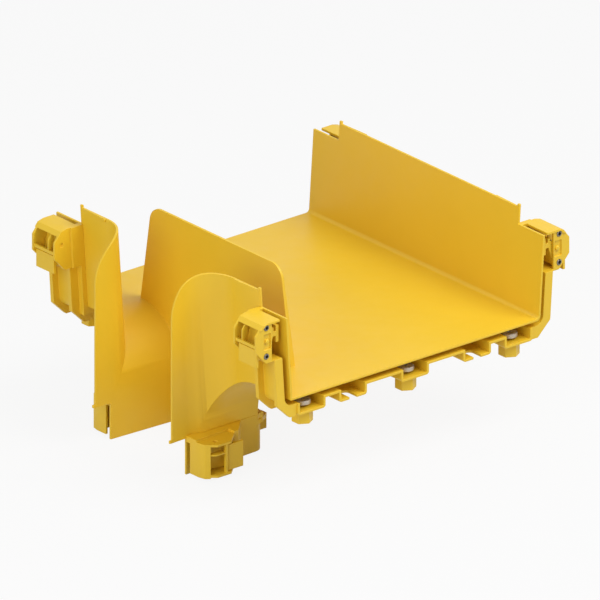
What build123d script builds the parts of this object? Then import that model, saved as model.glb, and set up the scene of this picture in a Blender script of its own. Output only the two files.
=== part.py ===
from build123d import *
import math
import os

# Trunk channel, the wide run that passes straight through. Millimetres.
trunk_half = 151.3
trunk_length = 339.5
wall_height = 100.6
wall_lean = 0.068
wall_t = 2.2
corner_r = 4.0

# Branch channel, the narrow run that drops from the left lane of the trunk.
branch_half = 50.8
branch_lean = 0.045
branch_depth = 101.4
branch_drop = 105.0
lane_edge = 104.4
roll_r = 60.2
flare_r = 38.0
flare_corner_r = 43.0
skirt_r = 59.5

# Divider that stands on the trunk floor along the edge of the drop.
divider_height = 99.0
divider_half = 111.0
divider_slant = 15.6
divider_base_t = 5.4
divider_top_t = 2.6
divider_corner_r = 16.0

# Lowered wall ends that sit inside the couplers.
step_length = 37.0
step_height = 83.4
tick_length = 3.0
tick_rise = 2.6
lip_length = 37.0
lip_height = 3.6
lip_proud = 1.4

# Coupler collar around each open end.
collar_setback = 2.4
collar_depth = 38.0
socket_gap = 5.2
socket_floor_gap = 5.7
sheet_t = 2.5
flange_depth = 4.6
rear_flange_setback = 34.2
sleeve_depth = 40.0
flange_t = 9.4
plain_arm_t = 1.8
arm_t = 2.2
arm_top = 43.4
collar_corner_r = 9.0
flange_shoulder = -5.6
flange_foot_in = 8.4

# Pockets pressed into the collar bottom.
pocket_setback = 0.4
pocket_half = 17.0
pocket_drop = 10.0
pocket_r = 3.0
boss_corner_r = 10.45
boss_edge_r = 1.2
boss_setback = 14.75
boss_drop = 13.6
trunk_boss_pitch = 127.0
trunk_slot_pitch = 76.2
branch_boss_pitch = 25.4
slot_width = 9.0
slot_depth = 16.5

# Grip screw held in each boss.
screw_r = 2.4
screw_head_r = 8.0
screw_head_t = 4.4
screw_lift = 2.2
screw_tip_cover = 2.4

# Latch housing on each collar arm.
cheek_setback = 4.2
cheek_t = 2.5
cheek_reach = 28.2
cheek_crown = 15.0
cheek_bevel_x = 8.0
cheek_bevel_drop = 1.8
cheek_bevel_z = 11.6
roof_drop = 4.4
cheek_inset = 8.6
web_inset = 1.8
web_reach = 9.4
foot_low = 19.8
cheek_waist = 55.5
cheek_hip = 51.0
cheek_hip_x = 4.0
shelf_t = 1.8
roof_t = 2.5
roof_proud = 1.2
rail_low = 58.4
rail_high = 61.6
rail_t = 3.0
recess_depth = 1.5
recess_margin = 3.6
peep_r = 1.3
dimple_r = 2.2

# Steel cross pins of a latch.
pin_r = 3.0
pin_bore_r = 1.7
pin_proud = 0.8
pin_x = 15.5
pivot_z = 49.0
stop_z = 78.2
running_gap = 0.05
side_gap = 0.4

# Latch lever, a rocker on the lower cross pin.
hub_r = 5.2
paddle_in = 7.2
paddle_t = 2.6
paddle_low = 38.5
paddle_high = 56.6
pawl_reach = 1.0
pawl_t = 3.6
pawl_low = 59.0
pawl_high = 76.0
bead_r = 4.0
bead_z = 68.0
bead_x = 7.4
neck_t = 2.6
neck_high = 75.0
lever_arm_t = 5.0

trunk_end = trunk_length / 2
branch_tip = lane_edge + branch_depth
skirt_half = branch_half + wall_t + socket_gap + plain_arm_t
skirt_low = sleeve_depth - branch_drop
far = 400.0


def prism_y(points, y0, y1):
    """Polygon in the X-Z plane pulled from y0 to y1."""
    face = Plane.XZ * make_face(Polyline(*points, close=True))
    return Pos(0, y0, 0) * extrude(face, amount=y1 - y0, dir=(0, 1, 0))


def sketch_y(sketch, y0, y1):
    """Sketch drawn in X-Z pulled from y0 to y1."""
    return Pos(0, y0, 0) * extrude(Plane.XZ * sketch, amount=y1 - y0, dir=(0, 1, 0))


def block(x0, x1, y0, y1, z0, z1):
    """Axis-aligned box between two corners."""
    size = Box(x1 - x0, y1 - y0, z1 - z0)
    return Pos((x0 + x1) / 2, (y0 + y1) / 2, (z0 + z1) / 2) * size


def rod_y(x, z, r, y0, y1):
    """Cylinder along Y."""
    return Pos(x, (y0 + y1) / 2, z) * Rot(90, 0, 0) * Cylinder(r, y1 - y0)


def outer_face(half, lean, z):
    """Distance from the middle of a channel to the outside of its leaning wall at height z."""
    return half + wall_t * math.hypot(1, lean) + lean * z


def both_sides(shape):
    """Shape together with its mirror image across the middle of the channel."""
    return shape + mirror(shape, about=Plane.YZ)


front_end = Plane(origin=(0, -trunk_end, 0), x_dir=(1, 0, 0), z_dir=(0, 0, 1))
rear_end = Plane(origin=(0, trunk_end, 0), x_dir=(-1, 0, 0), z_dir=(0, 0, 1))
branch_end = Plane(origin=(-lane_edge, 0, -branch_drop), x_dir=(0, -1, 0), z_dir=(-1, 0, 0))


# Fitting body: the region beyond the left wall and the branch wall, and the
# region under the rolled floor, are each built twice, a wall thickness apart.
def beyond_walls(offset):
    """Everything outside the left wall and the branch side wall, corner rounded."""
    foot = trunk_half + offset * math.hypot(1, wall_lean)
    rise = wall_lean * far
    beyond_trunk = prism_y(
        [(-2 * far, -far), (-foot + rise, -far), (-foot - rise, far), (-2 * far, far)], -far, far
    )
    side = branch_half + offset * math.hypot(1, branch_lean)
    spread = branch_lean * far
    outline = Polyline(
        (-lane_edge, -side), (-lane_edge - far, -side - spread), (-lane_edge - far, -far),
        (-lane_edge, -far), close=True,
    )
    beyond_branch = Pos(0, 0, -far) * extrude(make_face(outline), amount=2 * far)
    corner = beyond_trunk & beyond_branch
    target = Vector(-foot, -side - branch_lean * (foot - lane_edge), 0)
    bend = corner.edges().sort_by_distance(target)[0]
    return fillet(bend, flare_r - offset)


def under_roll(top, r):
    """Everything under a lane floor at one height that rolls down with one radius."""
    centre = (-r, top - r)
    low = Line((0, -far), (0, top - r))
    bow = CenterArc(centre, r, 0, 90)
    flat = Line((-r, top), (-far, top))
    outer = Polyline((-far, top), (-far, -far), (0, -far))
    face = Plane.YZ * make_face([low, bow, flat, outer])
    return Pos(-far, 0, 0) * extrude(face, amount=far + 30, dir=(1, 0, 0))


swing = math.degrees(math.atan(branch_lean))
branch_side = Pos(-lane_edge, -branch_half, 0) * Rot(0, 0, swing)
below_skirt = block(-far, far, -far, far, -far, skirt_low)
under_wall = branch_side * Pos(0, -wall_t, 0) * under_roll(-wall_t, roll_r - wall_t)
under_front = Pos(-lane_edge, -skirt_half, 0) * under_roll(-wall_t, skirt_r) + (under_wall & below_skirt)
under_both = under_front + mirror(under_front, about=Plane.XZ)
inside_shell = beyond_walls(0) + branch_side * under_roll(0, roll_r)
outside_shell = beyond_walls(wall_t) + under_front
lane_clip = block(-branch_tip, -lane_edge, -trunk_end, 0, -branch_drop, wall_height)
front_lane = (inside_shell - outside_shell) & lane_clip
flare_trim = block(-far, -branch_tip + flare_corner_r, -far, 0, wall_height - flare_corner_r, far)
flare_round = rod_y(-branch_tip + flare_corner_r, wall_height - flare_corner_r, flare_corner_r, -far, 0)
front_lane -= flare_trim - flare_round
lanes = front_lane + mirror(front_lane, about=Plane.XZ)

wall_top_x = trunk_half + wall_lean * wall_height
trunk_profile = make_face(
    Polyline(
        (-lane_edge, 0), (trunk_half, 0), (wall_top_x, wall_height),
        (outer_face(trunk_half, wall_lean, wall_height), wall_height),
        (outer_face(trunk_half, wall_lean, -wall_t), -wall_t), (-lane_edge, -wall_t), close=True,
    )
)
inner_corner = trunk_profile.vertices().sort_by_distance((trunk_half, 0))[0]
trunk_profile = fillet(inner_corner, corner_r)
outer_corner = trunk_profile.vertices().sort_by_distance((trunk_half + wall_t, -wall_t))[0]
trunk_profile = fillet(outer_corner, corner_r + wall_t / 2)
trunk = sketch_y(trunk_profile, -trunk_end, trunk_end)

web = block(-lane_edge, -lane_edge + wall_t, -divider_half, divider_half, -branch_drop, 0) - under_both

divider_profile = prism_y(
    [
        (-lane_edge, -wall_t), (-lane_edge, divider_height),
        (-lane_edge + divider_top_t, divider_height), (-lane_edge + divider_base_t, 0),
        (-lane_edge + divider_base_t, -wall_t),
    ],
    -far, far,
)
crest = divider_half - divider_slant
divider_outline = make_face(
    Polyline(
        (-divider_half, -wall_t), (-divider_half, 0), (-crest, divider_height), (crest, divider_height),
        (divider_half, 0), (divider_half, -wall_t), close=True,
    )
)
crest_corners = divider_outline.vertices().group_by(Axis.Y)[-1]
divider_outline = fillet(crest_corners, divider_corner_r)
divider = Pos(-lane_edge - 10, 0, 0) * extrude(Plane.YZ * divider_outline, amount=30, dir=(1, 0, 0))
divider = divider & divider_profile

fitting_body = trunk + lanes + web + divider


def end_step(half, lean, height):
    """Space above the lowered wall ends at one open end."""
    reach = half + 3 * wall_t + lean * height
    return block(-reach, reach, -1, step_length, step_height, height + 2 * tick_rise)


def end_marks(half, lean, height):
    """Upright tick and thickened lip where each full wall meets its step."""
    crown = height + tick_rise
    foot = height - 2 * tick_rise
    tick = prism_y(
        [
            (half + lean * foot, foot), (outer_face(half, lean, foot), foot),
            (outer_face(half, lean, crown), crown), (half + lean * crown, crown),
        ],
        step_length, step_length + tick_length,
    )
    low = height - lip_height
    rim = outer_face(half, lean, low)
    far_end = step_length + lip_length
    wedge = Polyline(
        (rim - wall_t / 2, step_length), (rim, step_length), (rim + lip_proud, far_end),
        (rim - wall_t / 2, far_end), close=True,
    )
    lip = Pos(0, 0, low) * extrude(make_face(wedge), amount=lip_height)
    return both_sides(tick + lip)


branch_marks = branch_end * end_marks(branch_half, branch_lean, branch_depth)
marks_top = -branch_drop + step_length + 2 * tick_length
branch_marks = branch_marks & block(-far, far, -far, far, -far, marks_top)
for end in (front_end, rear_end):
    fitting_body -= end * end_step(trunk_half, wall_lean, wall_height)
    fitting_body += end * end_marks(trunk_half, wall_lean, wall_height)
fitting_body -= branch_end * end_step(branch_half, branch_lean, branch_depth)
fitting_body += branch_marks


# Coupler, drawn in the frame of one open end: X across, Y into the fitting, Z up from its floor.
sheet_top = -wall_t - socket_floor_gap
sheet_low = sheet_top - sheet_t
pocket_floor = sheet_top - pocket_drop
pocket_low = pocket_floor - sheet_t
boss_low = pocket_low - boss_drop
cheek_low = arm_top - shelf_t


def seat(half, lean, z):
    """Distance from the middle of the channel to the collar's inner face at height z."""
    return outer_face(half, lean, z) + socket_gap


def rounded(points, corners):
    """Closed outline with some of its corners rounded, given as point and radius."""
    sketch = make_face(Polyline(*points, close=True))
    for point, radius in corners:
        sketch = fillet(sketch.vertices().sort_by_distance(point)[0], radius)
    return sketch


def collar_arm(half, lean, thickness, y0, y1, edge):
    """One arm of the collar with its lower corner, of a given thickness."""
    knee = (seat(half, lean, sheet_top), sheet_top)
    low = (seat(half, lean, sheet_low) + thickness, sheet_low)
    sketch = rounded(
        [
            (seat(half, lean, arm_top), arm_top), knee, (edge, sheet_top), (edge, sheet_low), low,
            (seat(half, lean, arm_top) + thickness, arm_top),
        ],
        [(knee, collar_corner_r), (low, collar_corner_r + thickness)],
    )
    return sketch_y(sketch, y0, y1)


def collar_flange(half, lean, thickness, y0, y1, edge):
    """Stiff rim of the collar arm, with the slanted outer corner under it."""
    knee = (seat(half, lean, sheet_top), sheet_top)
    sketch = rounded(
        [
            (seat(half, lean, arm_top), arm_top), knee, (edge, sheet_top), (edge, pocket_low),
            (edge + flange_foot_in, pocket_low),
            (seat(half, lean, flange_shoulder) + thickness, flange_shoulder),
            (seat(half, lean, arm_top) + thickness, arm_top),
        ],
        [(knee, collar_corner_r)],
    )
    return sketch_y(sketch, y0, y1)


def pocket(x):
    """Open box pressed down from the collar bottom."""
    outer = rounded(
        [
            (x - pocket_half, sheet_top), (x - pocket_half, pocket_low),
            (x + pocket_half, pocket_low), (x + pocket_half, sheet_top),
        ],
        [((x - pocket_half, pocket_low), pocket_r), ((x + pocket_half, pocket_low), pocket_r)],
    )
    inner = pocket_half - sheet_t
    rear_wall = rear_flange_setback - sheet_t
    space = block(x - inner, x + inner, -1, rear_wall, pocket_floor, far)
    return sketch_y(outer, pocket_setback, rear_flange_setback) - space


def boss(x):
    """Six-sided boss under a pocket, bored for its grip screw."""
    outline = RegularPolygon(boss_corner_r, 6, rotation=30)
    outline = fillet(outline.vertices(), boss_edge_r)
    height = pocket_floor - boss_low
    solid = Pos(x, boss_setback, boss_low) * extrude(outline, amount=height)
    return solid


def screw_hole(x):
    """Blind hole for a grip screw."""
    low = boss_low + screw_tip_cover
    return Pos(x, boss_setback, (low + pocket_floor + 1) / 2) * Cylinder(screw_r, pocket_floor + 1 - low)


def hanger_slot(x):
    """Open-ended slot through a pocket floor."""
    back = slot_depth - slot_width / 2
    throat = block(x - slot_width / 2, x + slot_width / 2, 0, back, pocket_low - 1, pocket_floor + 1)
    end = Pos(x, back, pocket_floor) * Cylinder(slot_width / 2, 4 * sheet_t)
    return throat + end


def cheek(half, lean, inner, y0, y1):
    """Side cheek of a latch housing with bevelled outer corners."""
    base = seat(half, lean, step_height)
    tip = base + cheek_reach
    points = [
        (inner, cheek_low), (inner, step_height), (tip - cheek_crown, step_height),
        (tip - cheek_bevel_x, step_height - cheek_bevel_drop), (tip, step_height - cheek_bevel_z),
        (tip, cheek_waist), (tip - cheek_hip_x, cheek_hip), (base + pin_x, cheek_low),
    ]
    return prism_y(points, y0, y1)


cheek_front = cheek_setback + cheek_t
cheek_rear = collar_depth - cheek_t
web_front = cheek_rear - web_inset


def latch_housing(half, lean):
    """Two cheeks, roof, shelf and rail that carry one latch."""
    base = seat(half, lean, step_height)
    tip = base + cheek_reach
    axis_x = base + pin_x
    front = cheek(half, lean, base + cheek_inset, cheek_setback, cheek_front)
    recess_low = pivot_z + pin_r + recess_margin
    recess_high = stop_z - pin_r - recess_margin
    front -= block(
        base + cheek_inset + sheet_t / 2, axis_x + pin_r, cheek_setback - 1, cheek_setback + recess_depth,
        recess_low, recess_high,
    )
    front -= rod_y(axis_x - pin_r / 2, (recess_low + recess_high) / 2, peep_r, 0, 2 * cheek_front)
    rear = cheek(half, lean, seat(half, lean, cheek_low), cheek_rear, collar_depth)
    rear -= rod_y(tip - cheek_inset, bead_z, dimple_r, collar_depth - recess_depth, collar_depth + 1)
    brow = (tip - cheek_bevel_x, step_height - cheek_bevel_drop)
    eave_x = roof_drop * cheek_bevel_x / (cheek_bevel_z - cheek_bevel_drop)
    eave = (brow[0] + eave_x, brow[1] - roof_drop)
    roof = prism_y(
        [
            (base, step_height - roof_t), (base, step_height), (tip - cheek_crown, step_height), brow, eave,
            (eave[0] - roof_t, eave[1]), (brow[0] - roof_t / 2, brow[1] - roof_t),
            (tip - cheek_crown, step_height - roof_t),
        ],
        cheek_setback - roof_proud, cheek_rear,
    )
    shelf = prism_y(
        [
            (seat(half, lean, cheek_low), cheek_low), (axis_x, cheek_low), (axis_x, arm_top),
            (seat(half, lean, arm_top), arm_top),
        ],
        cheek_setback, cheek_rear,
    )
    rail = block(tip - rail_t - 1, tip - 1, cheek_setback, cheek_rear, rail_low, rail_high)
    return front + rear + roof + shelf + rail


def pin_holes(half, lean):
    """Blind holes for the two cross pins of one latch."""
    axis_x = seat(half, lean, step_height) + pin_x
    depth = collar_depth - pin_proud
    return rod_y(axis_x, pivot_z, pin_r, -1, depth) + rod_y(axis_x, stop_z, pin_r, -1, depth)


def closing_web(half, lean):
    """Wall that joins the rear of the collar and latch housing to the outside of the channel."""
    upper = prism_y(
        [
            (outer_face(half, lean, step_height), step_height),
            (outer_face(half, lean, cheek_low), cheek_low),
            (seat(half, lean, cheek_low) + web_reach, cheek_low),
            (seat(half, lean, step_height) + web_reach, step_height),
        ],
        web_front, sleeve_depth,
    )
    lower = prism_y(
        [
            (outer_face(half, lean, cheek_low), cheek_low), (outer_face(half, lean, sheet_low), sheet_low),
            (seat(half, lean, sheet_low), sheet_low), (seat(half, lean, cheek_low), cheek_low),
        ],
        rear_flange_setback - flange_depth, sleeve_depth,
    )
    return upper + lower


def slanted_foot(half, lean, thickness):
    """Foot that carries a latch housing on a plain collar arm."""
    face = seat(half, lean, foot_low) + thickness
    axis_x = seat(half, lean, step_height) + pin_x
    root = face - thickness / 2
    points = [
        (root, foot_low), (face, foot_low), (axis_x, foot_low + axis_x - face), (axis_x, cheek_low),
        (root, cheek_low),
    ]
    return prism_y(points, cheek_setback, sleeve_depth)


def coupler(half, lean, web_t, rim_t, front_rim, boss_xs, slot_xs):
    """Whole collar for one open end."""
    pocket_xs = sorted(boss_xs + slot_xs)
    edge = pocket_xs[-1] + pocket_half
    rear_rim = rear_flange_setback - flange_depth
    if front_rim:
        side = collar_arm(half, lean, web_t, collar_setback, rear_flange_setback, edge)
        side += collar_flange(half, lean, rim_t, collar_setback, collar_setback + flange_depth, edge)
    else:
        side = collar_arm(half, lean, web_t, collar_setback, sleeve_depth, edge)
        side += slanted_foot(half, lean, web_t)
    side += collar_flange(half, lean, rim_t, rear_rim, rear_flange_setback, edge)
    side += closing_web(half, lean)
    side += latch_housing(half, lean)
    side -= pin_holes(half, lean)
    body = both_sides(side)
    shoe_low, shoe_top = outer_face(half, lean, sheet_low), outer_face(half, lean, -wall_t)
    shoe = [(-shoe_low, sheet_low), (shoe_low, sheet_low), (shoe_top, -wall_t), (-shoe_top, -wall_t)]
    body += prism_y(shoe, rear_rim, sleeve_depth)
    for x in pocket_xs:
        body += pocket(x)
    for left, right in zip(pocket_xs, pocket_xs[1:]):
        body += block(
            left + pocket_half, right - pocket_half, pocket_setback, rear_flange_setback,
            sheet_low, sheet_top,
        )
    for x in boss_xs:
        body += boss(x)
        body -= screw_hole(x)
    for x in slot_xs:
        body -= hanger_slot(x)
    return body


trunk_bosses = [-trunk_boss_pitch, 0, trunk_boss_pitch]
trunk_slots = [-trunk_slot_pitch, trunk_slot_pitch]
branch_bosses = [-branch_boss_pitch, branch_boss_pitch]
trunk_coupler = coupler(trunk_half, wall_lean, arm_t, flange_t, True, trunk_bosses, trunk_slots)
branch_coupler = coupler(branch_half, branch_lean, plain_arm_t, plain_arm_t, False, branch_bosses, [])


def cross_pins(half, lean):
    """Hollow steel pins of the two latches at one end."""
    axis_x = seat(half, lean, step_height) + pin_x
    y0 = cheek_setback - pin_proud
    y1 = collar_depth - pin_proud
    pins = []
    for x in (-axis_x, axis_x):
        for z in (pivot_z, stop_z):
            pins.append(rod_y(x, z, pin_r, y0, y1) - rod_y(x, z, pin_bore_r, y0 - 1, y1 + 1))
    return pins


def grip_screws(boss_xs):
    """Flat-headed grip screws standing in the bosses of one end."""
    tip = boss_low + screw_tip_cover
    seat_z = pocket_floor + screw_lift
    screws = []
    for x in boss_xs:
        shank = Pos(x, boss_setback, (tip + seat_z) / 2) * Cylinder(screw_r, seat_z - tip)
        head = Pos(x, boss_setback, seat_z + screw_head_t / 2) * Cylinder(screw_head_r, screw_head_t)
        screws.append(shank + head)
    return screws


def latch_lever(half, lean):
    """Rocker with a finger paddle below its pivot and a pawl above it."""
    axis_x = seat(half, lean, step_height) + pin_x
    y0 = cheek_front + side_gap
    y1 = web_front - side_gap
    pawl_x = seat(half, lean, bead_z) - pawl_reach
    neck_x = axis_x - bead_x
    lever = rod_y(axis_x, pivot_z, hub_r, y0, y1)
    lever += block(axis_x + paddle_in, axis_x + paddle_in + paddle_t, y0, y1, paddle_low, paddle_high)
    arm_low = pivot_z - lever_arm_t / 2
    lever += block(axis_x, axis_x + paddle_in + 1, y0, y1, arm_low, arm_low + lever_arm_t)
    lever += prism_y(
        [
            (axis_x - hub_r, pivot_z), (axis_x, pivot_z + hub_r / 2),
            (neck_x + bead_r, bead_z), (neck_x - bead_r, bead_z),
        ],
        y0, y1,
    )
    lever += rod_y(neck_x, bead_z, bead_r, y0, y1)
    lever += block(neck_x - bead_r, neck_x - bead_r + neck_t, y0, y1, bead_z, neck_high)
    lever += block(pawl_x + 1, neck_x, y0, y1, bead_z - lever_arm_t / 2, bead_z + lever_arm_t / 2)
    lever += block(pawl_x, pawl_x + pawl_t, y0, y1, pawl_low, pawl_high)
    return lever - rod_y(axis_x, pivot_z, pin_r + running_gap, y0 - 10, y1 + 10)


trunk_lever = latch_lever(trunk_half, wall_lean)
branch_lever = latch_lever(branch_half, branch_lean)
trunk_lever_left = mirror(trunk_lever, about=Plane.YZ)
branch_lever_left = mirror(branch_lever, about=Plane.YZ)

nodes = {"fitting_body": fitting_body}
nodes["coupler_front"] = front_end * trunk_coupler
nodes["coupler_rear"] = rear_end * trunk_coupler
nodes["coupler_branch"] = branch_end * branch_coupler
nodes["latch_lever_front_right"] = front_end * trunk_lever
nodes["latch_lever_front_left"] = front_end * trunk_lever_left
nodes["latch_lever_rear_left"] = rear_end * trunk_lever
nodes["latch_lever_rear_right"] = rear_end * trunk_lever_left
nodes["latch_lever_branch_near"] = branch_end * branch_lever
nodes["latch_lever_branch_far"] = branch_end * branch_lever_left

trunk_pins = cross_pins(trunk_half, wall_lean)
trunk_screws = grip_screws(trunk_bosses)
branch_pins = cross_pins(branch_half, branch_lean)
branch_screws = grip_screws(branch_bosses)
pins = [front_end * p for p in trunk_pins]
pins += [rear_end * p for p in trunk_pins]
pins += [branch_end * p for p in branch_pins]
screws = [front_end * s for s in trunk_screws]
screws += [rear_end * s for s in trunk_screws]
screws += [branch_end * s for s in branch_screws]
nodes["cross_pins"] = Compound(children=pins)
nodes["grip_screws"] = Compound(children=screws)

os.makedirs("parts", exist_ok=True)
for node, shape in nodes.items():
    export_step(shape, "parts/" + node + ".step")
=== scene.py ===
import logging
import math
from dataclasses import dataclass
from enum import Enum

import bmesh
import bpy
from mathutils import Matrix, Vector


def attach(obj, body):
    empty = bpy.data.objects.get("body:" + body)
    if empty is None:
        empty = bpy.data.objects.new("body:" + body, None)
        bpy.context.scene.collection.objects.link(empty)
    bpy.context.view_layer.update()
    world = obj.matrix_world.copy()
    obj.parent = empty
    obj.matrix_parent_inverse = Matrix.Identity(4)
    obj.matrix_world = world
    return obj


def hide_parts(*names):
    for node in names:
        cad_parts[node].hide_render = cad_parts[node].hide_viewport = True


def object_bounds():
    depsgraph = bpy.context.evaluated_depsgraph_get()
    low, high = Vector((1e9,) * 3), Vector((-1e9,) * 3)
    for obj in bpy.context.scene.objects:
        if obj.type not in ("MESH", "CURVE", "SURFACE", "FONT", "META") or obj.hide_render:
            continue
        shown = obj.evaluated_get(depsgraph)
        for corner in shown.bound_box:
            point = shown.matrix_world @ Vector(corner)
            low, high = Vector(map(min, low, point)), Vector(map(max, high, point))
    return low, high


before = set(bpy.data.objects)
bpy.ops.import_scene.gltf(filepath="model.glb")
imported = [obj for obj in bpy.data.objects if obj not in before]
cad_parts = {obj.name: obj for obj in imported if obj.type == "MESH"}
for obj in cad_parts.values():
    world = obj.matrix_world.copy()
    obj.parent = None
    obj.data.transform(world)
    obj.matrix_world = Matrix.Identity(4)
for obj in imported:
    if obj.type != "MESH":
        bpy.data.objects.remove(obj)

CAD_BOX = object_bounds()
MM = 0.001
SAME_POINT = 0.002 * MM
ROUND_PROFILE = 0.5
WHITE = (1.0, 1.0, 1.0, 1.0)
LOG = logging.getLogger("raceway_fitting")

Colour = tuple[float, float, float]
Point = tuple[float, float, float]
Pair = tuple[float, float]
Ring = list[bmesh.types.BMVert]
Socket = bpy.types.NodeSocket


class Slot(Enum):
    """Material slots of the record."""

    BODY = "body_plastic"
    COUPLER = "coupler_plastic"
    LEVER = "lever_plastic"
    PIN = "pin_steel"
    SCREW = "screw_steel"


class Body(Enum):
    """Bodies of the frame that pieces ride on."""

    FITTING = "fitting"
    FRONT_RIGHT = "latch_front_right"
    FRONT_LEFT = "latch_front_left"
    REAR_LEFT = "latch_rear_left"
    REAR_RIGHT = "latch_rear_right"
    BRANCH_NEAR = "latch_branch_near"
    BRANCH_FAR = "latch_branch_far"


class NodeTree:
    """Places and wires the nodes of one material or of the surroundings.

    Attributes:
        tree: Blender's node tree.
    """

    def __init__(self, owner: bpy.types.Material | bpy.types.World) -> None:
        """Turns the owner's nodes on and empties its tree.

        Args:
            owner: Material or surroundings that the tree belongs to.
        """
        owner.use_nodes = True
        self.tree = owner.node_tree
        self.tree.nodes.clear()

    def add(self, kind: str, **values: object) -> bpy.types.Node:
        """Adds a node and sets its own properties or its input sockets.

        Args:
            kind: Blender's name of the node type.
            values: Property or socket names, with underscores for spaces.

        Returns:
            The new node.
        """
        node = self.tree.nodes.new(kind)
        for name, value in values.items():
            if hasattr(node, name):
                setattr(node, name, value)
            else:
                node.inputs[name.replace("_", " ")].default_value = value
        return node

    def link(self, source: Socket, target: Socket) -> None:
        """Joins an output socket to an input socket."""
        self.tree.links.new(source, target)

    def noise(self, scale: float, detail: float, **values: object) -> Socket:
        """Adds a noise pattern that is fixed to the object.

        Args:
            scale: Spots of the pattern in each metre.
            detail: Finer layers of the pattern.
            values: Other sockets of the noise.

        Returns:
            The pattern's value.
        """
        noise = self.add("ShaderNodeTexNoise", Scale=scale, Detail=detail, **values)
        self.link(self.add("ShaderNodeTexCoord").outputs["Object"], noise.inputs["Vector"])
        return noise.outputs["Fac"]

    def colours(self, pattern: Socket, span: Pair, low: Colour, high: Colour) -> Socket:
        """Runs a pattern from one colour to another.

        Args:
            pattern: Value that picks the colour.
            span: Values of the pattern at which the two colours are pure.
            low: Colour at the lower value, linear.
            high: Colour at the higher value, linear.

        Returns:
            The colour.
        """
        ramp = self.add("ShaderNodeValToRGB")
        for stop, position, colour in zip(ramp.color_ramp.elements, span, (low, high)):
            stop.position = position
            stop.color = (*colour, 1.0)
        self.link(pattern, ramp.inputs["Fac"])
        return ramp.outputs["Color"]

    def levels(self, pattern: Socket, span: Pair, ends: Pair) -> Socket:
        """Spreads a pattern between two levels.

        Args:
            pattern: Value that picks the level.
            span: Values of the pattern at which the levels are reached.
            ends: Lowest and highest level.

        Returns:
            The level.
        """
        spread = self.add(
            "ShaderNodeMapRange", From_Min=span[0], From_Max=span[1], To_Min=ends[0], To_Max=ends[1],
        )
        self.link(pattern, spread.inputs["Value"])
        return spread.outputs["Result"]

    def relief(self, pattern: Socket, strength: float, depth: float) -> Socket:
        """Lets a pattern stand out from the surface.

        Args:
            pattern: Height of the relief.
            strength: Share of the relief that shows.
            depth: Depth of the relief in metres.

        Returns:
            The normal of the surface.
        """
        bump = self.add("ShaderNodeBump", Strength=strength, Distance=depth)
        self.link(pattern, bump.inputs["Height"])
        return bump.outputs["Normal"]

    def seen_directly(self) -> Socket:
        """Gives 1 for what a viewer sees straight, in a reflection or through glass.

        Returns:
            The socket that holds the value.
        """
        path = self.add("ShaderNodeLightPath")
        seen = path.outputs["Is Camera Ray"]
        for ray in ("Is Glossy Ray", "Is Transmission Ray"):
            either = self.add("ShaderNodeMath", operation="MAXIMUM")
            self.link(seen, either.inputs[0])
            self.link(path.outputs[ray], either.inputs[1])
            seen = either.outputs["Value"]
        return seen

    def mix(self, share: Socket, first: Socket, second: Socket) -> Socket:
        """Mixes two shaders.

        Args:
            share: Share of the second shader.
            first: First shader.
            second: Second shader.

        Returns:
            The mixed shader.
        """
        mixed = self.add("ShaderNodeMixShader")
        for place, source in enumerate((share, first, second)):
            self.link(source, mixed.inputs[place])
        return mixed.outputs["Shader"]

    def show(self, shader: Socket, output: str) -> None:
        """Ends the tree with an output node that shows the shader."""
        self.link(shader, self.add(output).inputs["Surface"])

    def coat(self, colour: Socket, roughness: Socket, normal: Socket, **values: object) -> None:
        """Ends a material's tree with a surface that takes its looks from patterns.

        Args:
            colour: Base colour.
            roughness: Roughness.
            normal: Normal of the surface.
            values: Other sockets of the surface.
        """
        shader = self.add("ShaderNodeBsdfPrincipled", **values)
        for name, source in (("Base Color", colour), ("Roughness", roughness), ("Normal", normal)):
            self.link(source, shader.inputs[name])
        self.show(shader.outputs["BSDF"], "ShaderNodeOutputMaterial")


@dataclass(frozen=True)
class MouldedPlastic:
    """Satin injection-moulded plastic with a spark-eroded grain.

    Attributes:
        name: Name of the material.
        colour: Base colour, linear.
        deep: Colour of the slightly deeper patches, linear.
        patch_scale: Patches of colour in each metre.
        patch_detail: Finer layers of the patches.
        patch_roughness: Strength of the finer layers.
        gloss_finer: Spots of gloss for each patch of colour.
        gloss_detail: Finer layers of the gloss.
        span: Values of a pattern at which its ends are reached.
        roughness: Lowest and highest roughness.
        grain_scale: Grains in each metre.
        grain_detail: Finer layers of the grain.
        grain_depth: Depth of the grain in metres.
        grain_strength: Share of the grain that shows.
        refraction: Index of refraction.
    """

    name: str
    colour: Colour
    deep: Colour
    patch_scale: float = 11.0
    patch_detail: float = 3.0
    patch_roughness: float = 0.55
    gloss_finer: float = 6.0
    gloss_detail: float = 4.0
    span: Pair = (0.3, 0.7)
    roughness: Pair = (0.40, 0.50)
    grain_scale: float = 1500.0
    grain_detail: float = 2.0
    grain_depth: float = 0.04 * MM
    grain_strength: float = 0.35
    refraction: float = 1.49

    def material(self) -> bpy.types.Material:
        """Makes the plastic with colour patches, uneven gloss and a fine grain.

        Returns:
            The material.
        """
        made = bpy.data.materials.new(self.name)
        tree = NodeTree(made)
        patches = tree.noise(self.patch_scale, self.patch_detail, Roughness=self.patch_roughness)
        gloss = tree.noise(self.patch_scale * self.gloss_finer, self.gloss_detail)
        grain = tree.noise(self.grain_scale, self.grain_detail)
        tree.coat(
            colour=tree.colours(patches, self.span, self.deep, self.colour),
            roughness=tree.levels(gloss, self.span, self.roughness),
            normal=tree.relief(grain, self.grain_strength, self.grain_depth),
            IOR=self.refraction,
        )
        return made


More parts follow.
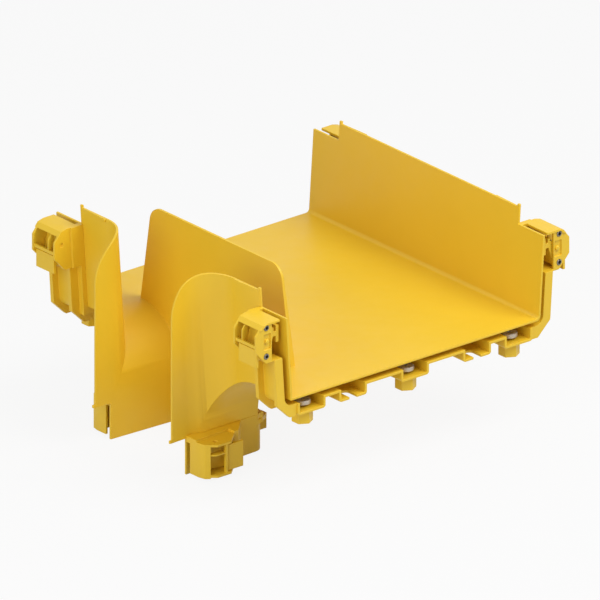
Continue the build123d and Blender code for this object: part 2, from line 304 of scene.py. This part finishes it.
@dataclass(frozen=True)
class PlatedSteel:
    """Zinc-plated steel with fine turning marks.

    Attributes:
        name: Name of the material.
        colour: Base colour, linear.
        dull: Colour of the duller patches, linear.
        metal: Share of bare metal that shows through the plating.
        colour_span: Values of the marks at which the colours are pure.
        gloss_span: Values of the marks at which the roughness reaches its ends.
        roughness: Lowest and highest roughness.
        mark_scale: Turning marks in each metre.
        mark_detail: Finer layers of the marks.
        mark_depth: Depth of the marks in metres.
        mark_strength: Share of the marks' depth that shows.
    """

    name: str
    colour: Colour
    dull: Colour
    metal: float = 0.8
    colour_span: Pair = (0.35, 0.65)
    gloss_span: Pair = (0.3, 0.7)
    roughness: Pair = (0.42, 0.58)
    mark_scale: float = 900.0
    mark_detail: float = 3.0
    mark_depth: float = 0.02 * MM
    mark_strength: float = 0.2

    def material(self) -> bpy.types.Material:
        """Makes the steel with dull patches and turning marks.

        Returns:
            The material.
        """
        made = bpy.data.materials.new(self.name)
        tree = NodeTree(made)
        marks = tree.noise(self.mark_scale, self.mark_detail)
        tree.coat(
            colour=tree.colours(marks, self.colour_span, self.dull, self.colour),
            roughness=tree.levels(marks, self.gloss_span, self.roughness),
            normal=tree.relief(marks, self.mark_strength, self.mark_depth),
            Metallic=self.metal,
        )
        return made


@dataclass(frozen=True)
class StudioPaper:
    """White studio paper that shows nearly white and still takes a shadow.

    Attributes:
        name: Name of the material.
        colour: Colour of the paper, linear.
        veil: Share of plain white that a viewer sees over the lit paper.
    """

    name: str
    colour: Colour
    veil: float

    def material(self) -> bpy.types.Material:
        """Makes the paper.

        Returns:
            The material.
        """
        made = bpy.data.materials.new(self.name)
        tree = NodeTree(made)
        paper = tree.add("ShaderNodeBsdfDiffuse", Color=(*self.colour, 1.0))
        white = tree.add("ShaderNodeEmission", Color=WHITE, Strength=1.0)
        share = tree.add("ShaderNodeMath", operation="MULTIPLY")
        share.inputs[1].default_value = self.veil
        tree.link(tree.seen_directly(), share.inputs[0])
        veiled = tree.mix(share.outputs["Value"], paper.outputs["BSDF"], white.outputs["Emission"])
        tree.show(veiled, "ShaderNodeOutputMaterial")
        return made


def millimetres(*pairs: Pair) -> tuple[Pair, ...]:
    """Turns pairs of millimetres into pairs of metres."""
    return tuple((first * MM, second * MM) for first, second in pairs)


def even_turns(count: int) -> list[float]:
    """Divides a full turn into even steps, in radians."""
    return [2 * math.pi * step / count for step in range(count)]


def round_point(radius: float, turn: float, height: float) -> Vector:
    """Gives a point from its radius, its turn in radians and its height."""
    return Vector((radius * math.cos(turn), radius * math.sin(turn), height))


def add_skin(shape: bmesh.types.BMesh, rings: list[Ring]) -> None:
    """Closes a row of rings into a solid: sides from ring to ring and a cap at each end.

    Args:
        shape: Shape that gets the faces.
        rings: Rings with the same number of points, from one end to the other.
    """
    for here, following in zip(rings, rings[1:]):
        for i in range(len(here)):
            k = (i + 1) % len(here)
            shape.faces.new((here[i], here[k], following[k], following[i]))
    shape.faces.new(list(reversed(rings[0])))
    shape.faces.new(rings[-1])


def add_object(name: str, shape: bmesh.types.BMesh, smooth_below: float = 30.0) -> bpy.types.Object:
    """Makes an object from a finished shape and lets go of the shape.

    Args:
        name: Name of the object.
        shape: The shape, in metres in the frame.
        smooth_below: Edges flatter than this many degrees shade smoothly.

    Returns:
        The object.
    """
    mesh = bpy.data.meshes.new(name)
    for face in shape.faces:
        face.smooth = True
    shape.to_mesh(mesh)
    shape.free()
    mesh.set_sharp_from_angle(angle=math.radians(smooth_below))
    made = bpy.data.objects.new(name, mesh)
    bpy.context.scene.collection.objects.link(made)
    return made


def islands(node: bpy.types.Object) -> list[list[Vector]]:
    """Sorts a node's points into its separate solids.

    Args:
        node: CAD node.

    Returns:
        One list of points for each solid.
    """
    shape = bmesh.new()
    shape.from_mesh(node.data)
    bmesh.ops.remove_doubles(shape, verts=shape.verts, dist=SAME_POINT)
    seen: set[bmesh.types.BMVert] = set()
    found: list[list[Vector]] = []
    for start in shape.verts:
        if start in seen:
            continue
        seen.add(start)
        waiting, points = [start], []
        while waiting:
            here = waiting.pop()
            points.append(here.co.copy())
            for edge in here.link_edges:
                other = edge.other_vert(here)
                if other not in seen:
                    seen.add(other)
                    waiting.append(other)
        found.append(points)
    shape.free()
    return found


@dataclass
class Spindle:
    """A turned piece's axis and sizes, read from its CAD solid.

    Attributes:
        foot: Point on the axis at the end away from the head.
        along: Unit vector from the foot to the head.
        length: Length from end to end.
        radius: Largest radius.
    """

    foot: Vector
    along: Vector
    length: float
    radius: float

    @classmethod
    def of(cls, points: list[Vector], rim_share: float = 0.97) -> "Spindle":
        """Finds the axis of a turned solid: the side of its box that is unlike the other two.

        Args:
            points: Points of the solid.
            rim_share: Share of the largest radius from which a point is on the head's rim.

        Returns:
            The spindle, with its foot at the slimmer end.
        """
        low = Vector([min(p[i] for p in points) for i in range(3)])
        high = Vector([max(p[i] for p in points) for i in range(3)])
        size, middle = high - low, (low + high) / 2
        others = [abs(size[(i + 1) % 3] - size[(i + 2) % 3]) for i in range(3)]
        axis = others.index(min(others))
        along = Vector([1.0 if i == axis else 0.0 for i in range(3)])
        radius = size[(axis + 1) % 3] / 2
        spokes = [p - middle for p in points]
        rim = [s for s in spokes if (s - along * s[axis]).length > rim_share * radius]
        along = -along if sum(s[axis] for s in rim) < 0 else along
        return cls(middle - along * size[axis] / 2, along, size[axis], radius)

    def frame(self) -> Matrix:
        """Gives the placing of a shape turned about Z that stands on its foot."""
        return Matrix.Translation(self.foot) @ self.along.to_track_quat("Z", "X").to_matrix().to_4x4()


@dataclass
class Moulding:
    """One moulded piece that takes its form from its CAD node, with its edges eased.

    Attributes:
        name: Name of the piece.
        node: CAD node that it stands for.
        body: Body that it rides on.
        slot: Material slot.
        edge_radius: Radius of the eased edges in metres.
        edge_steps: Facets across an eased edge.
        sharp_from: Edges at least this many degrees sharp are eased.
        thin_wedge: Edges that meet a neighbour in a face at less than this many degrees stay sharp.
        flat_within: Facets within this many degrees of each other are one flat face.
        smooth_below: Edges flatter than this many degrees shade smoothly.
        weld: Points closer than this are one point.
    """

    name: str
    node: str
    body: Body
    slot: Slot
    edge_radius: float = 0.36 * MM
    edge_steps: int = 3
    sharp_from: float = 34.0
    thin_wedge: float = 8.0
    flat_within: float = 0.4
    smooth_below: float = 40.0
    weld: float = SAME_POINT

    def build(self) -> bpy.types.Object:
        """Copies the CAD solid's form and eases its edges.

        Returns:
            The piece, in place of its node.
        """
        shape = bmesh.new()
        shape.from_mesh(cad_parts[self.node].data)
        bmesh.ops.remove_doubles(shape, verts=shape.verts, dist=self.weld)
        flat = math.radians(self.flat_within)
        bmesh.ops.dissolve_limit(shape, angle_limit=flat, verts=shape.verts[:], edges=shape.edges[:])
        bmesh.ops.bevel(
            shape, geom=self.eased_edges(shape), offset=self.edge_radius, offset_type="OFFSET",
            segments=self.edge_steps, profile=ROUND_PROFILE, affect="EDGES", clamp_overlap=False,
            miter_outer="ARC",
        )
        piece = add_object(self.name, shape, self.smooth_below)
        weighted = piece.modifiers.new("flat_faces_stay_flat", "WEIGHTED_NORMAL")
        weighted.keep_sharp = True
        return piece

    def eased_edges(self, shape: bmesh.types.BMesh) -> list[bmesh.types.BMEdge]:
        """Picks the edges to ease: every sharp edge that isn't part of a thin wedge.

        Args:
            shape: Form of the solid.

        Returns:
            The edges, in the form's own order.
        """
        least, thin = math.radians(self.sharp_from), math.radians(self.thin_wedge)
        sharp = {e for e in shape.edges if e.is_manifold and e.calc_face_angle() > least}
        wedged: set[bmesh.types.BMEdge] = set()
        for face in shape.faces:
            for corner in face.loops:
                sides = {corner.edge, corner.link_loop_prev.edge}
                onward = corner.link_loop_next.vert.co - corner.vert.co
                back = corner.link_loop_prev.vert.co - corner.vert.co
                if sides & sharp and onward.angle(back) < thin:
                    wedged |= sides
        return [e for e in shape.edges if e in sharp and e not in wedged]

    def dress(self, piece: bpy.types.Object, material: bpy.types.Material) -> None:
        """Gives the piece its finish and joins it to its body.

        Args:
            piece: The built piece.
            material: Its finish.
        """
        piece.data.materials.clear()
        piece.data.materials.append(material)
        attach(piece, self.body.value)
        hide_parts(self.node)


@dataclass
class CrossPins:
    """Rolled spring pins of the latches, each a slit tube with eased ends.

    Attributes:
        name: Name of the piece.
        node: CAD node that holds all pins.
        bore_radius: Radius of the hole through a pin.
        slit_angle: Degrees of the tube that the slit leaves open.
        end_ease: Size of the eased ends.
        facets: Facets round a pin.
    """

    name: str = "rolled_cross_pins"
    node: str = "cross_pins"
    bore_radius: float = 1.7 * MM
    slit_angle: float = 24.0
    end_ease: float = 0.5 * MM
    facets: int = 40

    def build(self) -> bpy.types.Object:
        """Makes all pins as one piece.

        Returns:
            The piece.
        """
        shape = bmesh.new()
        for points in islands(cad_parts[self.node]):
            self.add_pin(shape, Spindle.of(points))
        bmesh.ops.recalc_face_normals(shape, faces=shape.faces[:])
        return add_object(self.name, shape)

    def add_pin(self, shape: bmesh.types.BMesh, pin: Spindle) -> None:
        """Adds one slit tube.

        Args:
            shape: Shape that gets the pin.
            pin: Place and size of the pin.
        """
        ease, outer, inner = self.end_ease, pin.radius, self.bore_radius
        section = [
            (outer, ease), (outer, pin.length - ease), (outer - ease, pin.length),
            (inner, pin.length), (inner, 0.0), (outer - ease, 0.0),
        ]
        place, slit = pin.frame(), math.radians(self.slit_angle)
        rings = []
        for step in range(self.facets + 1):
            turn = slit / 2 + (2 * math.pi - slit) * step / self.facets
            rings.append([shape.verts.new(place @ round_point(r, turn, z)) for r, z in section])
        add_skin(shape, rings)

    def dress(self, piece: bpy.types.Object, material: bpy.types.Material) -> None:
        """Gives the pins their finish and joins them to the fitting.

        Args:
            piece: The built pins.
            material: Their finish.
        """
        piece.data.materials.append(material)
        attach(piece, Body.FITTING.value)
        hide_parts(self.node)


@dataclass
class GripScrews:
    """Grip screws of the bosses, each a round head over a threaded shank.

    Attributes:
        name: Name of the piece.
        node: CAD node that holds all screws.
        head_thickness: Thickness of the head.
        head_ease: Size of the head's eased rims.
        socket_radius: Radius of the driving socket's corners.
        socket_depth: Depth of the driving socket.
        shank_radius: Radius over the thread.
        thread_depth: Depth of the thread.
        pitch: Rise of the thread in one turn.
        facets: Facets round a screw.
        rings_per_turn: Rings of points in one turn of the thread.
        smooth_below: Edges flatter than this many degrees shade smoothly.
    """

    name: str = "threaded_grip_screws"
    node: str = "grip_screws"
    head_thickness: float = 4.4 * MM
    head_ease: float = 0.5 * MM
    socket_radius: float = 2.6 * MM
    socket_depth: float = 2.2 * MM
    shank_radius: float = 2.4 * MM
    thread_depth: float = 0.45 * MM
    pitch: float = 1.0 * MM
    facets: int = 36
    rings_per_turn: int = 6
    smooth_below: float = 38.0

    def build(self) -> bpy.types.Object:
        """Makes all screws as one piece.

        Returns:
            The piece.
        """
        shape = bmesh.new()
        for points in islands(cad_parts[self.node]):
            self.add_screw(shape, Spindle.of(points))
        bmesh.ops.recalc_face_normals(shape, faces=shape.faces[:])
        return add_object(self.name, shape, self.smooth_below)

    def add_screw(self, shape: bmesh.types.BMesh, screw: Spindle) -> None:
        """Adds one screw, from its tip up to the floor of its socket.

        Args:
            shape: Shape that gets the screw.
            screw: Place and size of the screw.
        """
        neck, top, ease = screw.length - self.head_thickness, screw.length, self.head_ease
        count = math.ceil(neck / self.pitch * self.rings_per_turn)
        root = [self.shank_radius - self.thread_depth] * self.facets
        outline = [(0.0, root)]
        for step in range(1, count + 1):
            z = neck * step / count
            outline.append((z, [self.thread_radius(z, i) for i in range(self.facets)]))
        rim, wide = [screw.radius - ease] * self.facets, [screw.radius] * self.facets
        outline += [(neck, rim), (neck + ease, wide), (top - ease, wide), (top, rim)]
        socket = [self.socket_corner(i) for i in range(self.facets)]
        outline += [(top, socket), (top - self.socket_depth, socket)]
        place, turns = screw.frame(), even_turns(self.facets)
        add_skin(shape, [
            [shape.verts.new(place @ round_point(r, turn, z)) for r, turn in zip(radii, turns)]
            for z, radii in outline
        ])

    def thread_radius(self, z: float, facet: int) -> float:
        """Gives the thread's radius at a height and a facet.

        Args:
            z: Height over the tip.
            facet: Number of the facet's corner.

        Returns:
            The radius, between the thread's root and its crest.
        """
        phase = (z / self.pitch - facet / self.facets) % 1.0
        return self.shank_radius - self.thread_depth * abs(2.0 * phase - 1.0)

    def socket_corner(self, facet: int) -> float:
        """Gives the six-sided socket's radius at a facet's corner.

        Args:
            facet: Number of the facet's corner.

        Returns:
            The radius of a hexagon in that direction.
        """
        side = math.pi / 3
        turn = (2 * math.pi * facet / self.facets) % side - side / 2
        return self.socket_radius * math.cos(side / 2) / math.cos(turn)

    def dress(self, piece: bpy.types.Object, material: bpy.types.Material) -> None:
        """Gives the screws their finish and joins them to the fitting.

        Args:
            piece: The built screws.
            material: Their finish.
        """
        piece.data.materials.append(material)
        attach(piece, Body.FITTING.value)
        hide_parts(self.node)


@dataclass(frozen=True)
class LatchPlace:
    """Where one latch housing sits.

    Attributes:
        end: Placing of the open end of its channel.
        side: 1 or -1 for the two sides of the channel.
        axis: Distance of the lever's axis from the middle of the channel.
    """

    end: Matrix
    side: float
    axis: float

    def spot(self, across: float, deep: float, up: float) -> Vector:
        """Gives a point of the housing.

        Args:
            across: Distance outward from the lever's axis.
            deep: Distance behind the open end.
            up: Height over the channel's floor.

        Returns:
            The point in the frame.
        """
        return self.end @ Vector((self.side * (self.axis + across), deep, up))


@dataclass
class HousingTrim:
    """Small moulded forms of the latch housings: a gusset in each window and a button on each near cheek.

    Attributes:
        name: Name of the piece.
        trunk_end: Distance of the trunk's open ends from the middle.
        trunk_axis: Distance of the trunk levers' axes from the middle.
        branch_corner: Side and drop of the branch's open end.
        branch_axis: Distance of the branch levers' axes from the middle.
        gusset_outline: Corners of a gusset, across and up.
        gusset_depths: Near and far face of a gusset behind the open end.
        gusset_ease: Radius of a gusset's eased edges.
        gusset_steps: Facets across an eased edge.
        button_place: Middle of a button, across and up.
        button_profile: Radius and depth along a button's skin.
        button_facets: Facets round a button.
        smooth_below: Edges flatter than this many degrees shade smoothly.
    """

    name: str = "latch_housing_trim"
    trunk_end: float = 169.75 * MM
    trunk_axis: float = 179.876 * MM
    branch_corner: Pair = (-104.4 * MM, -105.0 * MM)
    branch_axis: float = 77.455 * MM
    gusset_outline: tuple[Pair, ...] = millimetres(
        (4.0, 60.2), (11.4, 60.2), (11.4, 72.3), (8.2, 76.4), (5.8, 77.8), (4.0, 79.2),
    )
    gusset_depths: Pair = (26.0 * MM, 27.4 * MM)
    gusset_ease: float = 0.25 * MM
    gusset_steps: int = 2
    button_place: Pair = (-1.5 * MM, 63.6 * MM)
    button_profile: tuple[Pair, ...] = millimetres(
        (2.4, 5.9), (2.4, 4.9), (2.2, 4.45), (1.7, 4.15), (0.9, 4.05),
    )
    button_facets: int = 32
    smooth_below: float = 40.0

    def places(self) -> list[LatchPlace]:
        """Lists the six housings, two at each open end.

        Returns:
            Their places.
        """
        front = Matrix.Translation((0.0, -self.trunk_end, 0.0))
        rear = Matrix.Translation((0.0, self.trunk_end, 0.0)) @ Matrix.Rotation(math.pi, 4, "Z")
        turned_down = Matrix(((0.0, 0.0, -1.0), (-1.0, 0.0, 0.0), (0.0, 1.0, 0.0))).to_4x4()
        branch = Matrix.Translation((self.branch_corner[0], 0.0, self.branch_corner[1])) @ turned_down
        ends = ((front, self.trunk_axis), (rear, self.trunk_axis), (branch, self.branch_axis))
        return [LatchPlace(end, side, axis) for end, axis in ends for side in (1.0, -1.0)]

    def build(self) -> bpy.types.Object:
        """Makes all gussets and buttons as one piece.

        Returns:
            The piece.
        """
        shape = bmesh.new()
        for latch in self.places():
            self.add_gusset(shape, latch)
        bmesh.ops.bevel(
            shape, geom=shape.edges[:], offset=self.gusset_ease, offset_type="OFFSET",
            segments=self.gusset_steps, profile=ROUND_PROFILE, affect="EDGES",
        )
        for latch in self.places():
            self.add_button(shape, latch)
        bmesh.ops.recalc_face_normals(shape, faces=shape.faces[:])
        return add_object(self.name, shape, self.smooth_below)

    def add_gusset(self, shape: bmesh.types.BMesh, latch: LatchPlace) -> None:
        """Adds one gusset.

        Args:
            shape: Shape that gets the gusset.
            latch: Place of its housing.
        """
        add_skin(shape, [
            [shape.verts.new(latch.spot(across, deep, up)) for across, up in self.gusset_outline]
            for deep in self.gusset_depths
        ])

    def add_button(self, shape: bmesh.types.BMesh, latch: LatchPlace) -> None:
        """Adds one domed button.

        Args:
            shape: Shape that gets the button.
            latch: Place of its housing.
        """
        across, up = self.button_place
        rings = []
        for radius, deep in self.button_profile:
            spokes = [round_point(radius, turn, 0.0) for turn in even_turns(self.button_facets)]
            rings.append([shape.verts.new(latch.spot(across + s.x, deep, up + s.y)) for s in spokes])
        add_skin(shape, rings)

    def dress(self, piece: bpy.types.Object, material: bpy.types.Material) -> None:
        """Gives the trim the couplers' finish and joins it to the fitting.

        Args:
            piece: The built trim.
            material: The couplers' finish.
        """
        piece.data.materials.append(material)
        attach(piece, Body.FITTING.value)


@dataclass
class Studio:
    """Floor, lamps and surrounding light.

    Attributes:
        floor_gap: Gap between the object's lowest point and the floor.
        floor_reach: Distance of the floor's edges from the middle.
        paper: Finish of the floor.
        sky: Strength of the surrounding light.
        key_place: Place of the main lamp.
        key_size: Side of the main lamp.
        key_power: Power of the main lamp in watts.
        fill_place: Place of the fill lamp.
        fill_size: Side of the fill lamp.
        fill_power: Power of the fill lamp in watts.
    """

    floor_gap: float = 0.2 * MM
    floor_reach: float = 6.0
    paper: StudioPaper = StudioPaper("studio_paper", (0.60, 0.60, 0.60), 0.90)
    sky: float = 0.44
    key_place: Point = (0.45, -1.0, 1.55)
    key_size: float = 1.2
    key_power: float = 25.0
    fill_place: Point = (-1.5, -0.4, 0.55)
    fill_size: float = 1.0
    fill_power: float = 8.0

    def build(self) -> None:
        """Sets the floor, the lamps and the surrounding light."""
        self.lay_floor()
        self.hang_lamp("key_lamp", self.key_place, self.key_size, self.key_power)
        self.hang_lamp("fill_lamp", self.fill_place, self.fill_size, self.fill_power)
        self.light_sky()

    def lay_floor(self) -> None:
        """Lays the paper floor under the object."""
        shape = bmesh.new()
        low = min(CAD_BOX[0][2], CAD_BOX[1][2]) - self.floor_gap
        bmesh.ops.create_grid(shape, x_segments=1, y_segments=1, size=self.floor_reach)
        bmesh.ops.translate(shape, verts=shape.verts, vec=(0.0, 0.0, low))
        floor = add_object("studio_floor", shape)
        floor.data.materials.append(self.paper.material())

    def hang_lamp(self, name: str, place: Point, size: float, power: float) -> None:
        """Hangs a square lamp that points at the object.

        Args:
            name: Name of the lamp.
            place: Place of the lamp.
            size: Side of the lamp.
            power: Power in watts.
        """
        lamp = bpy.data.lights.new(name, "AREA")
        lamp.size = size
        lamp.energy = power
        hung = bpy.data.objects.new(name, lamp)
        hung.location = place
        hung.rotation_mode = "QUATERNION"
        hung.rotation_quaternion = (-Vector(place)).to_track_quat("-Z", "Y")
        bpy.context.scene.collection.objects.link(hung)

    def light_sky(self) -> None:
        """Lights the surroundings softly and shows them white."""
        world = bpy.data.worlds.new("studio_surroundings")
        bpy.context.scene.world = world
        tree = NodeTree(world)
        soft = tree.add("ShaderNodeBackground", Color=WHITE, Strength=self.sky)
        white = tree.add("ShaderNodeBackground", Color=WHITE, Strength=1.0)
        seen = tree.mix(tree.seen_directly(), soft.outputs["Background"], white.outputs["Background"])
        tree.show(seen, "ShaderNodeOutputWorld")


@dataclass
class PhotoCamera:
    """Parallel camera that sees the object as the photograph does.

    Attributes:
        azimuth: Degrees that the view direction turns from the run of the trough.
        elevation: Degrees that the camera looks down.
        width: Width of the picture in metres.
        right_of_origin: Middle of the picture to the right of the origin.
        above_origin: Middle of the picture above the origin.
        distance: Distance of the camera.
    """

    azimuth: float = 39.78
    elevation: float = 22.8
    width: float = 566.6 * MM
    right_of_origin: float = -0.57 * MM
    above_origin: float = 4.72 * MM
    distance: float = 1.6

    def build(self) -> None:
        """Makes the camera and gives it to the scene."""
        turn, down = math.radians(self.azimuth), math.radians(self.elevation)
        look = Vector((math.sin(turn) * math.cos(down), math.cos(turn) * math.cos(down), -math.sin(down)))
        right = Vector((math.cos(turn), -math.sin(turn), 0.0))
        up = right.cross(look)
        lens = bpy.data.cameras.new("photo_camera")
        lens.type = "ORTHO"
        lens.ortho_scale = self.width
        camera = bpy.data.objects.new("photo_camera", lens)
        camera.location = right * self.right_of_origin + up * self.above_origin - look * self.distance
        camera.rotation_mode = "QUATERNION"
        camera.rotation_quaternion = look.to_track_quat("-Z", "Y")
        bpy.context.scene.collection.objects.link(camera)
        bpy.context.scene.camera = camera


YELLOW: Colour = (0.87, 0.57, 0.028)
DEEP_YELLOW: Colour = (0.84, 0.545, 0.024)
TROUGH_PLASTIC = MouldedPlastic("moulded_yellow_trough", YELLOW, DEEP_YELLOW)
COUPLER_PLASTIC = MouldedPlastic("moulded_yellow_coupler", YELLOW, DEEP_YELLOW, patch_scale=17.0)
LEVER_PLASTIC = MouldedPlastic("moulded_yellow_lever", YELLOW, DEEP_YELLOW, patch_scale=40.0)
PIN_STEEL = PlatedSteel("rolled_pin_steel", (0.28, 0.25, 0.21), (0.20, 0.18, 0.15))
SCREW_STEEL = PlatedSteel("plated_screw_steel", (0.62, 0.59, 0.54), (0.52, 0.49, 0.45), metal=0.6)


def mouldings() -> list[Moulding]:
    """Lists the moulded pieces: trough, couplers and latch levers.

    Returns:
        The mouldings in the order in which they are built.
    """
    listed = [
        Moulding(
            "trough_moulding", "fitting_body", Body.FITTING, Slot.BODY, edge_radius=0.33 * MM, weld=0.1 * MM,
        ),
    ]
    for end in ("front", "rear", "branch"):
        listed.append(Moulding(f"{end}_coupler_moulding", f"coupler_{end}", Body.FITTING, Slot.COUPLER))
    for body in Body:
        if body is not Body.FITTING:
            end = body.value.removeprefix("latch_")
            listed.append(Moulding(f"{end}_lever_moulding", f"latch_lever_{end}", body, Slot.LEVER))
    return listed


def report(piece: bpy.types.Object) -> None:
    """Logs a piece's name and face count."""
    LOG.info("%s: %d faces", piece.name, len(piece.data.polygons))


def main() -> None:
    """Builds and dresses every piece, then sets the studio and the camera."""
    logging.basicConfig(level=logging.INFO, format="%(name)s: %(message)s")
    plastics = {
        Slot.BODY: TROUGH_PLASTIC.material(),
        Slot.COUPLER: COUPLER_PLASTIC.material(),
        Slot.LEVER: LEVER_PLASTIC.material(),
    }
    for moulding in mouldings():
        piece = moulding.build()
        moulding.dress(piece, plastics[moulding.slot])
        report(piece)
    trim = HousingTrim()
    piece = trim.build()
    trim.dress(piece, plastics[Slot.COUPLER])
    report(piece)
    for hardware, steel in ((CrossPins(), PIN_STEEL), (GripScrews(), SCREW_STEEL)):
        piece = hardware.build()
        hardware.dress(piece, steel.material())
        report(piece)
    Studio().build()
    PhotoCamera().build()
    bpy.context.scene.view_settings.view_transform = "Standard"


if __name__ == "__main__":
    main()
